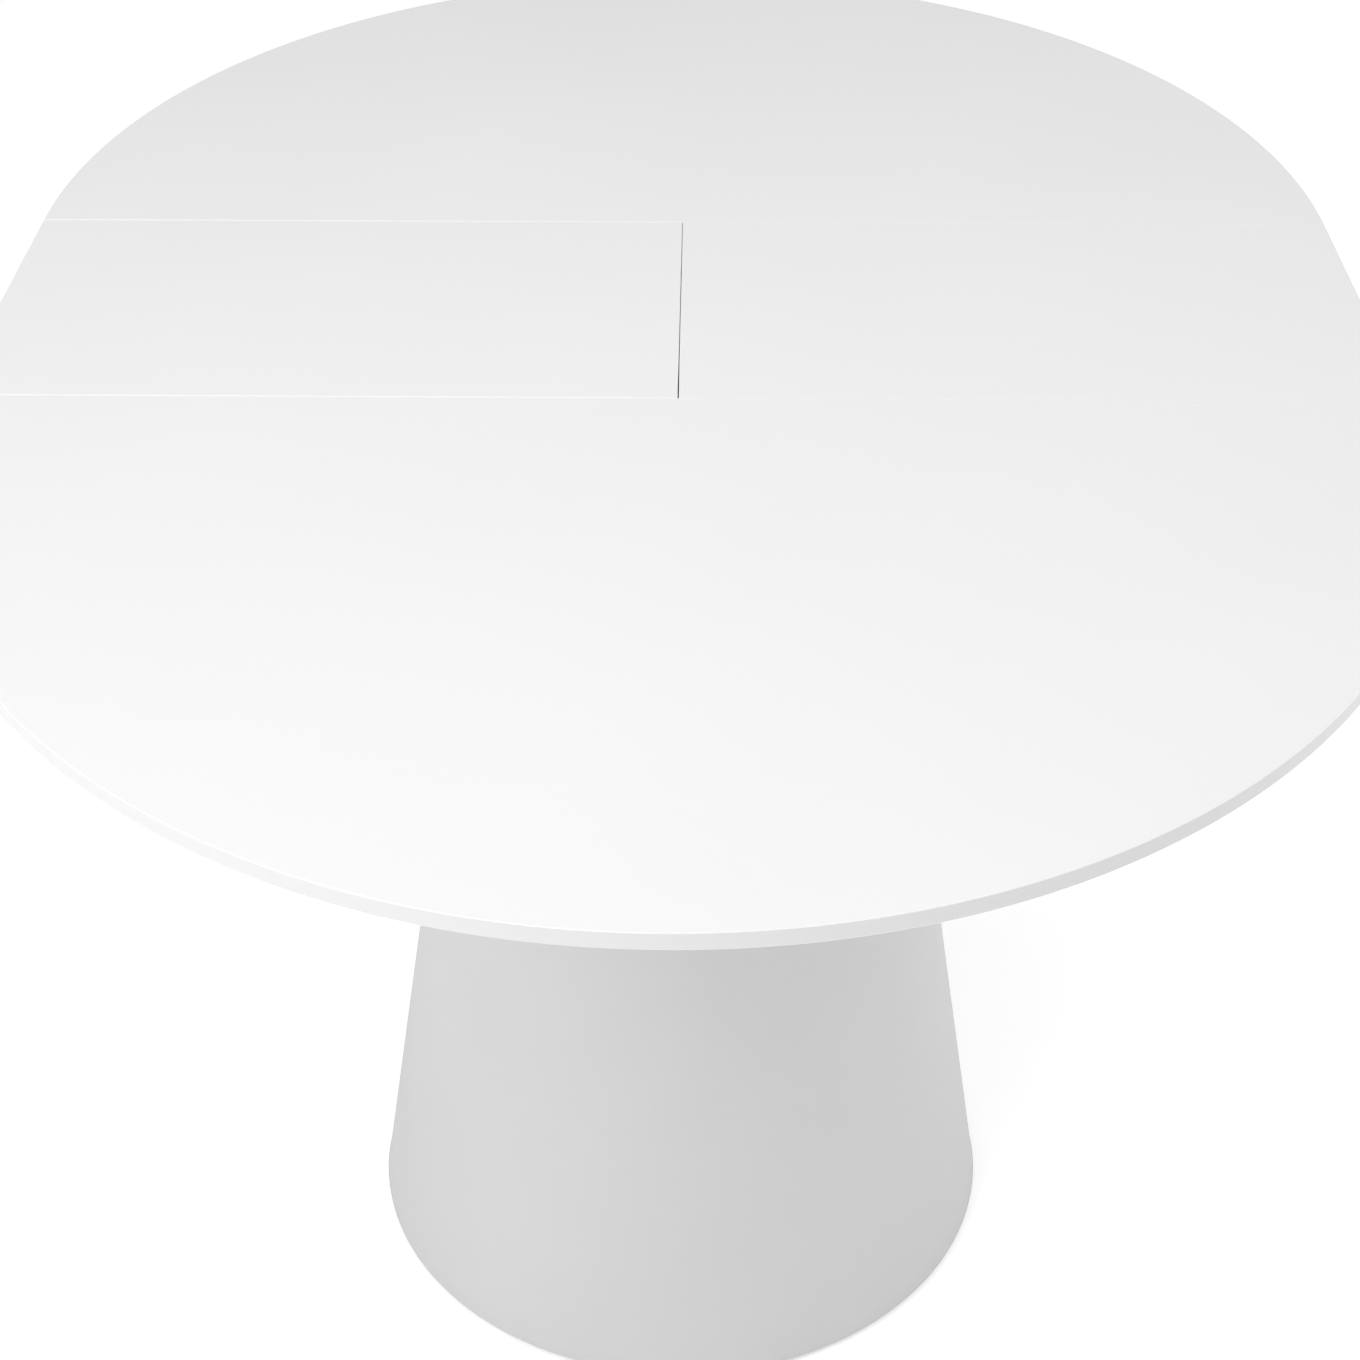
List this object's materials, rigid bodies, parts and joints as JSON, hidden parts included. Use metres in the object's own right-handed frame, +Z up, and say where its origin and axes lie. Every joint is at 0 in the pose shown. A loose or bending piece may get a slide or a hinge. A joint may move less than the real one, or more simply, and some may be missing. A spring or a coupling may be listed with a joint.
{
  "type": "extending pedestal table",
  "caption": "Oval extending pedestal table on a tapered base, with a folding butterfly leaf that lifts between two geared sliding halves and stows beneath them.",
  "frame": {"origin": "on the floor, under the centre of the table", "axes": "+Z up; +Y is the way the table extends, toward the rear half; X across its width"},
  "size_m": [0.9, 1.312, 0.765],
  "materials": {
    "white_lacquer": "satin lacquer over fibreboard",
    "white_shell": "matt moulded shell",
    "black_powder_coat": "fine powder coat",
    "raw_aluminium": "extruded, satin anodised",
    "zinc_steel": "bright zinc plate",
    "nylon_white": "moulded nylon",
    "acetal_black": "machined acetal",
    "brass_hinge": "satin brass",
    "rubber_buffer": "matt",
    "cast_ballast": "as cast, painted",
    "beech_batten": "sealed",
    "magnet_nickel": "nickel plate"
  },
  "bodies": {
    "pedestal": {"base_shell": "white_shell", "floor_plate": "black_powder_coat", "floor_glides": "nylon_white", "ballast_ring": "cast_ballast", "column_tube": "black_powder_coat", "column_flanges": "black_powder_coat", "head_plate": "black_powder_coat", "frame_bolts": "zinc_steel", "frame_nuts": "zinc_steel", "pinion_post": "zinc_steel", "fixed_rail_right": "raw_aluminium", "fixed_rail_left": "raw_aluminium", "rail_screws": "zinc_steel", "crossbeam_rear": "black_powder_coat", "crossbeam_front": "black_powder_coat", "beam_end_blocks": "acetal_black", "pivot_bushes": "nylon_white", "lift_stops": "zinc_steel", "rest_buffers": "rubber_buffer"},
    "pinion": {"pinion": "nylon_white"},
    "rear_half": {"top_half_rear": "white_lacquer", "slider_rear_right": "raw_aluminium", "slider_rear_left": "raw_aluminium", "slider_glides_rear": "acetal_black", "risers_rear": "black_powder_coat", "slide_bolts_rear": "zinc_steel", "batten_rear": "beech_batten", "underside_screws_rear": "zinc_steel", "lock_pivots": "zinc_steel", "edge_magnets_rear": "magnet_nickel", "rack_rear": "acetal_black", "rack_bracket_rear": "black_powder_coat"},
    "front_half": {"top_half_front": "white_lacquer", "slider_front_right": "raw_aluminium", "slider_front_left": "raw_aluminium", "slider_glides_front": "acetal_black", "risers_front": "black_powder_coat", "slide_bolts_front": "zinc_steel", "batten_front": "beech_batten", "underside_screws_front": "zinc_steel", "keepers": "zinc_steel", "edge_magnets_front": "magnet_nickel", "rack_front": "acetal_black", "rack_bracket_front": "black_powder_coat"},
    "lock_right": {"lock_hook_right": "zinc_steel"},
    "lock_left": {"lock_hook_left": "zinc_steel"},
    "arms_left": {"lift_arms_left": "zinc_steel", "arm_pins_left": "zinc_steel"},
    "arms_right": {"lift_arms_right": "zinc_steel", "arm_pins_right": "zinc_steel"},
    "leaf_left_half": {"leaf_left": "white_lacquer", "hinge_barrels_left": "brass_hinge", "leaf_magnets_left": "magnet_nickel", "carrier_rear": "black_powder_coat", "carrier_front": "black_powder_coat", "carrier_screws": "zinc_steel"},
    "leaf_right_half": {"leaf_right": "white_lacquer", "hinge_barrels_right": "brass_hinge", "leaf_magnets_right": "magnet_nickel"}
  },
  "joints": [
    {"name": "rear_half_slide", "type": "slide", "parent": "pedestal", "child": "rear_half", "axis": [0, 1, 0], "range_m": [0, 0.025]},
    {"name": "front_half_slide", "type": "slide", "parent": "pedestal", "child": "front_half", "axis": [0, -1, 0], "range_m": [0, 0.025]},
    {"name": "pinion_spin", "type": "hinge", "parent": "pedestal", "child": "pinion", "pos_m": [0, 0, 0.66823], "axis": [0, 0, 1], "range_deg": [0, 119.37]},
    {"name": "leaf_swing", "type": "hinge", "parent": "pedestal", "child": "arms_left", "pos_m": [-0.1, 0, 0.67623], "axis": [0, 1, 0], "range_deg": [0, 78.37]},
    {"name": "right_arms_swing", "type": "hinge", "parent": "pedestal", "child": "arms_right", "pos_m": [0.1, 0, 0.67623], "axis": [0, 1, 0], "range_deg": [0, 78.37]},
    {"name": "leaf_level", "type": "hinge", "parent": "arms_left", "child": "leaf_left_half", "pos_m": [-0.10523, 0, 0.736], "axis": [0, 1, 0], "range_deg": [-78.37, 0]},
    {"name": "leaf_fold", "type": "hinge", "parent": "leaf_left_half", "child": "leaf_right_half", "pos_m": [0, 0, 0.7653], "axis": [0, -1, 0], "range_deg": [0, 180]},
    {"name": "right_lock_swing", "type": "hinge", "parent": "rear_half", "child": "lock_right", "pos_m": [0.397, 0.164, 0.739], "axis": [0, 0, 1], "range_deg": [0, 90]},
    {"name": "left_lock_swing", "type": "hinge", "parent": "rear_half", "child": "lock_left", "pos_m": [-0.397, 0.164, 0.739], "axis": [0, 0, -1], "range_deg": [0, 90]}
  ],
  "couplings": [
    {"joint": "front_half_slide", "follows": "rear_half_slide", "ratio": 1},
    {"joint": "pinion_spin", "follows": "rear_half_slide", "rad_per_m": 83.333},
    {"joint": "right_arms_swing", "follows": "leaf_swing", "ratio": 1},
    {"joint": "leaf_level", "follows": "leaf_swing", "ratio": -1}
  ]
}
